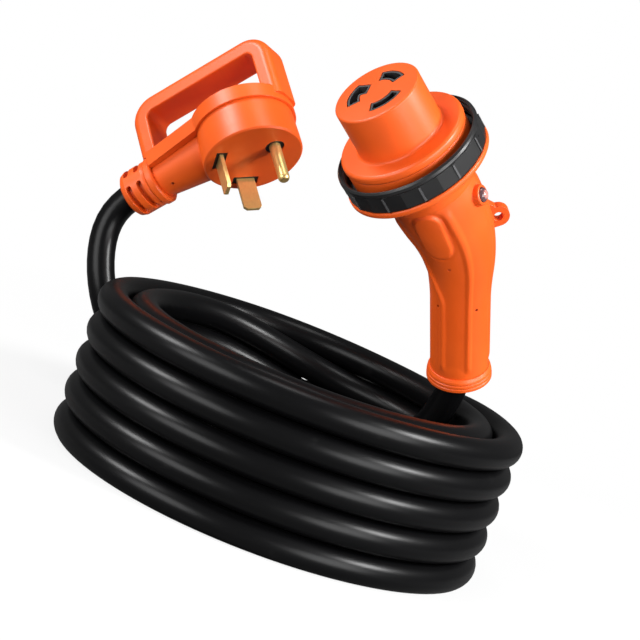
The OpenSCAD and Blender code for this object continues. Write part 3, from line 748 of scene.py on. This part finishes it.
def slot_outline(middle, span, width, foot):
    """Curved slot round the nose's axis, with the corners of its foot if it has one."""
    cuts = 8
    angles = [middle + span * (k / cuts - 0.5) for k in range(cuts + 1)]
    outer = [polar(SLOT_R + width / 2, a) for a in angles]
    shown = [a for a in angles if not foot or a > foot[0][1]]
    inner = [polar(SLOT_R - width / 2, middle + (a - middle) * 1.08) for a in reversed(shown)]
    return outer + inner + [polar(*corner) for corner in foot]


def circle(r, n=48):
    return [(r * math.cos(2 * math.pi * k / n), r * math.sin(2 * math.pi * k / n)) for k in range(n)]


def clean(mesh, reach):
    """Joins points closer than the reach and drops the faces that this leaves without an area."""
    bm = bmesh.new()
    bm.from_mesh(mesh)
    bmesh.ops.remove_doubles(bm, verts=bm.verts, dist=reach)
    bmesh.ops.dissolve_degenerate(bm, edges=bm.edges, dist=reach)
    bmesh.ops.recalc_face_normals(bm, faces=bm.faces)
    bm.to_mesh(mesh)
    bm.free()


def solid(name, verts, faces, place=Matrix()):
    """Helper object for a carve."""
    mesh = bpy.data.meshes.new(name)
    mesh.from_pydata([place @ v for v in verts], [], faces)
    clean(mesh, 2.5 * POLE)
    obj = bpy.data.objects.new(name, mesh)
    bpy.context.scene.collection.objects.link(obj)
    return obj


def carved(base, joined, cut):
    """Adds and cuts helper solids, and leaves the finished mesh in the first one."""
    for kind, tools in (("UNION", joined), ("DIFFERENCE", cut)):
        for tool in tools:
            step = base.modifiers.new(kind, "BOOLEAN")
            step.operation = kind
            step.solver = "EXACT"
            step.object = tool
    graph = bpy.context.evaluated_depsgraph_get()
    mesh = bpy.data.meshes.new_from_object(base.evaluated_get(graph))
    for obj in [base, *joined, *cut]:
        old = obj.data
        bpy.data.objects.remove(obj)
        bpy.data.meshes.remove(old)
    clean(mesh, WELD)
    if len(mesh.polygons) < 10:
        raise RuntimeError("a carved piece came out empty")
    return mesh


def on_connector(mesh):
    """Moves a finished mesh to the connector's place, smooth but for its sharp edges."""
    mesh.transform(Matrix.Scale(MM, 4) @ CONNECTOR)
    mesh.shade_smooth()
    mesh.set_sharp_from_angle(angle=math.radians(SHARP))


class CORD_OT_grip(bpy.types.Operator):
    """Bell, neck and bent grip of the connector, with panels, pads and pin-holes"""
    bl_idname = "power_cord.grip"
    bl_label = "Connector grip"

    def execute(self, context):
        sides, rings, inner_rings = 180, 140, 24
        outer, outer_faces = swept(rings, sides, grip_radius, False)
        inner, inner_faces = swept(inner_rings, sides, lambda s, t: grip_base(s) - GRIP_WALL, True)
        m = len(outer)
        faces = outer_faces + [tuple(m + i for i in f) for f in inner_faces]
        last, inner_last = (rings - 1) * sides, m + (inner_rings - 1) * sides
        for k in range(sides):
            j = (k + 1) % sides
            faces.append((k, m + k, m + j, j))
            faces.append((last + k, last + j, inner_last + j, inner_last + k))
        tube = solid("connector_shell", outer + inner, faces)
        bell = solid("bell", *lathe(rounded([
            (NOSE_HOLLOW - 1, 0), (RING_R - 0.6, 0), (RING_R, -0.6), (RING_R, -2.6), (RING_R - 1.4, -4),
            (NECK_R + 8.6, -4.6), (NECK_R + 4.6, -7), (NECK_R + 2, -11), (NECK_R + 0.7, -15),
            (NECK_R + 0.3, -BELL_LEN), (NECK_R - 4.6, -BELL_LEN), (NECK_R - 4.6, -BELL_LEN + 6)], 0.5), 180),
            Matrix.Translation((0, 0, BELL_Z)))
        at_led = Matrix.Rotation(LED_TURN, 4, "Z") @ Matrix.Translation((0, 0, -LED_S))
        surround = solid("surround", *lathe(rounded([
            (POLE, 0), (LED_R + 1.6, 0), (LED_R + 2.4, 8), (POLE, 8)], 0.9), 64),
            at_led @ Matrix.Translation((LED_X - 1, 0, 0)) @ SIDEWAYS)
        lug_side = [(LUG_X + LUG_R * math.cos(math.radians(a)), -LUG_S + LUG_R * math.sin(math.radians(a)))
                    for a in range(100, 275, 6)]
        lug_side += [(-18, -LUG_S - 5.2), (-17.5, -LUG_S), (-18.5, -LUG_S + 13), (-22.6, -LUG_S + 11.5)]
        lug = solid("lug", *prism(lug_side, -LUG_HALF, LUG_HALF), ACROSS)
        hole = solid("lug_hole", *prism(circle(LUG_HOLE), -6, 6),
                     Matrix.Translation((LUG_X, 0, -LUG_S)) @ ACROSS)
        seat = solid("lens_seat", *prism(circle(LED_R + 0.05), 0, 12),
                     at_led @ Matrix.Translation((-32, 0, 0)) @ SIDEWAYS)
        rim = solid("lens_rim", *lathe([
            (POLE, 0), (LED_R + 0.7, 0), (LED_R + 0.1, 0.8), (POLE, 0.8)], 64),
            at_led @ Matrix.Translation((LED_X - 1.2, 0, 0)) @ SIDEWAYS)
        cuts = [hole, seat, rim]
        for s, t in PIN_HOLES:
            for side in (-1, 1):
                x, y = polar(grip_base(s) - PIN_HOLE_DEPTH, t)
                at = bent(s, x, side * y)
                out = (at - grip_point(s)).normalized().to_track_quat("Z", "Y").to_matrix().to_4x4()
                cuts.append(solid("pin_hole", *prism(circle(PIN_HOLE_R, 20), 0, 5),
                                  Matrix.Translation(at) @ out))
        mesh = carved(tube, [bell, surround, lug], cuts)
        on_connector(mesh)
        shell = made("connector_shell", mesh, bpy.data.materials[SHELL], slot="orange_pvc", smooth=False)
        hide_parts("connector_body")
        return {"FINISHED"}


class CORD_OT_nose(bpy.types.Operator):
    """Connector's nose and the framed slots in its face"""
    bl_idname = "power_cord.nose"
    bl_label = "Connector nose"

    def execute(self, context):
        low = FLANGE_Z - FLANGE_T
        hub = HUB_R - HUB_GAP
        profile = [(POLE, -FACE_T), (NOSE_HOLLOW, -FACE_T), (NOSE_HOLLOW, BELL_Z), (hub, BELL_Z),
                   (hub, SHOULDER_Z), (SHOULDER_R, SHOULDER_Z), (SHOULDER_R, low), (FLANGE_R - 0.8, low),
                   (FLANGE_R, low + 0.8), (FLANGE_R, FLANGE_Z - 1.6), (FLANGE_R - 0.5, FLANGE_Z - 0.6),
                   (FLANGE_R - 1.6, FLANGE_Z), (NOSE_R + 1.5, FLANGE_Z), (NOSE_R + 0.4, FLANGE_Z + 0.5),
                   (NOSE_R, FLANGE_Z + 1.6), (NOSE_R, -0.7), (NOSE_R - 0.7, 0), (POLE, 0)]
        outlines = [slot_outline(*slot) for slot in SLOTS]
        nose = solid("nose", *lathe(rounded(profile, 0.6), 180))
        mesh = carved(nose, [], [solid("slot", *prism(grown(o, SLOT_GAP), -4, 1)) for o in outlines])
        core = solid("frames", *prism(circle(NOSE_HOLLOW - 0.05, 120), CARRIER_BASE, -FACE_T - 0.05))
        frames = carved(core, [solid("frame", *prism(o, -4, -0.15)) for o in outlines],
                        [solid("inside", *prism(grown(o, -SLOT_RIM), CARRIER_BASE - 1, 1)) for o in outlines])
        for name, part, node, skin, slot in (
                ("nose_shell", mesh, "connector_nose", SHELL, "orange_pvc"),
                ("slot_frames", frames, "contact_carrier", FRAME, "contact_frame")):
            on_connector(part)
            piece = made(name, part, bpy.data.materials[skin], slot=slot, smooth=False)
            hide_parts(node)
        return {"FINISHED"}


class CORD_OT_shells(bpy.types.Operator):
    """Orange shells of plug and connector"""
    bl_idname = "power_cord.shells"
    bl_label = "Shells"

    def execute(self, context):
        dress(["plug_body", "plug_handle", "plug_collar", "plug_strain_relief", "connector_nose",
               "grip_collar"], shell_plastic(context.scene.cord_colours.shell))
        return {"FINISHED"}


THREAD_R = RING_R - 2.6
THREAD_FROM = RING_Z0 + RING_LIP + 1.4
# steps of the whole thread and of the fade at each end
THREAD_STEPS, THREAD_RUN_OUT = 160, 8
# half widths of the thread's root and crest, its depth, and how far its root sinks in
THREAD_ROOT, THREAD_CREST, THREAD_DEPTH, THREAD_SINK = 0.95, 0.3, 0.95, 0.05


class CORD_OT_ring(bpy.types.Operator):
    """Locking ring's plastic and the thread inside it"""
    bl_idname = "power_cord.ring"
    bl_label = "Locking ring"

    def execute(self, context):
        sizes = context.scene.cord_sizes
        skin = ring_plastic(context.scene.cord_colours.ring)
        dress(["locking_ring"], skin)
        verts, faces = [], []
        total = sizes.thread_turns * 2 * math.pi
        for i in range(THREAD_STEPS + 1):
            a = total * i / THREAD_STEPS
            z = THREAD_FROM + sizes.thread_pitch * a / (2 * math.pi)
            fade = min(1.0, i / THREAD_RUN_OUT, (THREAD_STEPS - i) / THREAD_RUN_OUT)
            crest = THREAD_R + -THREAD_DEPTH * fade
            for r, dz in ((THREAD_R + THREAD_SINK, -THREAD_ROOT), (crest, -THREAD_CREST),
                          (crest, THREAD_CREST), (THREAD_R + THREAD_SINK, THREAD_ROOT)):
                v = CONNECTOR @ Vector((r * math.cos(a), r * math.sin(a), z + dz))
                verts.append(v * MM)
        for i in range(THREAD_STEPS):
            for k in range(4):
                a, b = i * 4 + k, i * 4 + (k + 1) % 4
                faces.append((a, b, b + 4, a + 4))
        faces += [(3, 2, 1, 0), tuple(THREAD_STEPS * 4 + k for k in range(4))]
        made("ring_thread", mesh_from("ring_thread", verts, faces), skin, body="ring", slot="ring_plastic",
             smooth=False)
        return {"FINISHED"}


class CORD_OT_metal(bpy.types.Operator):
    """Blades, ground pin and twist-lock contacts"""
    bl_idname = "power_cord.metal"
    bl_label = "Brass"

    def execute(self, context):
        dress(["line_blade", "neutral_blade", "ground_pin", "line_contact", "neutral_contact",
               "ground_contact"], brass_metal(context.scene.cord_colours.brass))
        return {"FINISHED"}


class CORD_OT_inserts(bpy.types.Operator):
    """Cores behind the faces and the grommet"""
    bl_idname = "power_cord.inserts"
    bl_label = "Inserts"

    def execute(self, context):
        dress(["plug_core"], dark_plastic("black core", (0.012, 0.012, 0.013)))
        # reach 0.006: black painted shade inside the slots of the frames
        dress(["contact_carrier"], dark_plastic(FRAME, (0.06, 0.058, 0.06), 0.4, 0.006))
        dress(["grip_grommet"], dark_plastic("grommet rubber", (0.013, 0.013, 0.013), 0.6))
        return {"FINISHED"}


class CORD_OT_light(bpy.types.Operator):
    """Power light: lens, diode, board and its wires"""
    bl_idname = "power_cord.light"
    bl_label = "Power light"

    def execute(self, context):
        dress(["led_lens"], lens_plastic(context.scene.cord_colours.lens))
        dress(["led"], dark_plastic("red diode", (0.45, 0.02, 0.015), 0.2))
        dress(["led_board"], dark_plastic("board green", (0.01, 0.09, 0.03), 0.35))
        dress(["led_wires"], wire_skin("thin red wire", (0.35, 0.01, 0.01)))
        return {"FINISHED"}


class CORD_OT_wires(bpy.types.Operator):
    """Insulated conductors inside both ends"""
    bl_idname = "power_cord.wires"
    bl_label = "Conductors"

    def execute(self, context):
        for name, tint, *wires in (
                ("black insulation", (0.012, 0.012, 0.012), "plug_line_wire", "connector_line_wire"),
                ("white insulation", (0.7, 0.7, 0.67), "plug_neutral_wire", "connector_neutral_wire"),
                ("green insulation", (0.01, 0.16, 0.03), "plug_ground_wire", "connector_ground_wire")):
            dress(wires, wire_skin(name, tint))
        return {"FINISHED"}


WHITE = (1.0, 1.0, 1.0)
FLOOR_HALF = 6
WORLD_LIGHT = 0.10
AIM = (0, 0, 0.12)
# name, place and diameter in metres, power in watts
LAMPS = (
    ("left softbox", (-1.12, -0.15, 0.90), 0.42, 12.0),
    ("right softbox", (1.0, -0.35, 0.90), 0.40, 19.0),
    ("top softbox", (-0.10, -0.10, 1.45), 0.45, 3.0),
    ("left fill", (-1.25, -1.15, 0.30), 1.20, 20.0),
    ("right fill", (1.15, -1.30, 0.45), 1.20, 26.0),
)


class CORD_OT_stage(bpy.types.Operator):
    """Floor, soft lamps and surroundings"""
    bl_idname = "power_cord.stage"
    bl_label = "Stage"

    def execute(self, context):
        scene = context.scene
        self.lay_floor(scene)
        self.light_world(scene)
        for lamp in LAMPS:
            self.hang(scene, *lamp)
        return {"FINISHED"}

    @staticmethod
    def lay_floor(scene):
        """Dark in the light that it throws back; for the camera, pale inside the coil and white round it."""
        net = fresh("pale floor")
        camera = net.node("ShaderNodeLightPath")["Is Camera Ray"]
        tone = net.noise(3.0, 2.0)
        pale = net.mix(tone, (0.84, 0.84, 0.84), (0.88, 0.88, 0.88))
        net.set(Base_Color=net.mix(camera, (0.16, 0.16, 0.16), pale), Roughness=0.9, Specular_IOR_Level=0.1)
        at = net.node("ShaderNodeTexCoord")["Object"]
        radius = net.node("ShaderNodeVectorMath", {"operation": "LENGTH"}, {0: at})["Value"]
        glow = net.node("ShaderNodeEmission", {}, {"Color": WHITE, "Strength": 1.0})["Emission"]
        outside = radius.smooth(0.088, 0.125)
        net.blend(camera * (0.80 * outside + 0.20 * radius.smooth(0.25, 0.6)), glow, "Material Output")
        h = FLOOR_HALF
        mesh = mesh_from("floor", [(-h, -h, 0), (h, -h, 0), (h, h, 0), (-h, h, 0)], [(0, 1, 2, 3)])
        mesh.materials.append(net.owner)
        floor = bpy.data.objects.new("floor", mesh)
        scene.collection.objects.link(floor)

    @staticmethod
    def light_world(scene):
        """Faint light from all round, and plain white for the camera."""
        scene.world = bpy.data.worlds.new("surroundings")
        net = Net(scene.world, "Background")
        net.set(Color=WHITE, Strength=WORLD_LIGHT)
        camera = net.node("ShaderNodeLightPath")["Is Camera Ray"]
        white = net.node("ShaderNodeBackground", {}, {"Color": WHITE})["Background"]
        net.blend(camera, white, "World Output")

    @staticmethod
    def hang(scene, name, at, size, power):
        """A round soft lamp turned to the cord."""
        lamp = bpy.data.lights.new(name, "AREA")
        lamp.shape = "DISK"
        lamp.size = size
        lamp.energy = power
        obj = bpy.data.objects.new(name, lamp)
        scene.collection.objects.link(obj)
        obj.location = at
        aim = Vector(AIM) - Vector(at)
        obj.rotation_euler = aim.to_track_quat("-Z", "Y").to_euler()


STEPS = (CORD_OT_camera, CORD_OT_cable, CORD_OT_shells, CORD_OT_grip, CORD_OT_ring, CORD_OT_metal,
         CORD_OT_inserts, CORD_OT_nose, CORD_OT_light, CORD_OT_wires, CORD_OT_stage)


class CORD_PT_panel(bpy.types.Panel):
    """Sizes, colours and steps of the cord"""
    bl_idname = "CORD_PT_panel"
    bl_label = "Shore power cord"
    bl_space_type = "VIEW_3D"
    bl_region_type = "UI"
    bl_category = "Power cord"

    def draw(self, context):
        for group in (context.scene.cord_sizes, context.scene.cord_colours):
            for key in group.__annotations__:
                self.layout.prop(group, key)
        for step in STEPS:
            self.layout.operator(step.bl_idname)


CLASSES = (CordSizes, CordColours) + STEPS + (CORD_PT_panel,)


def register():
    for cls in CLASSES:
        bpy.utils.register_class(cls)
    bpy.types.Scene.cord_sizes = PointerProperty(type=CordSizes)
    bpy.types.Scene.cord_colours = PointerProperty(type=CordColours)


def unregister():
    del bpy.types.Scene.cord_sizes
    del bpy.types.Scene.cord_colours
    for cls in reversed(CLASSES):
        bpy.utils.unregister_class(cls)


def main():
    register()
    for step in STEPS:
        group, name = step.bl_idname.split(".")
        getattr(getattr(bpy.ops, group), name)()


if __name__ == "__main__":
    main()
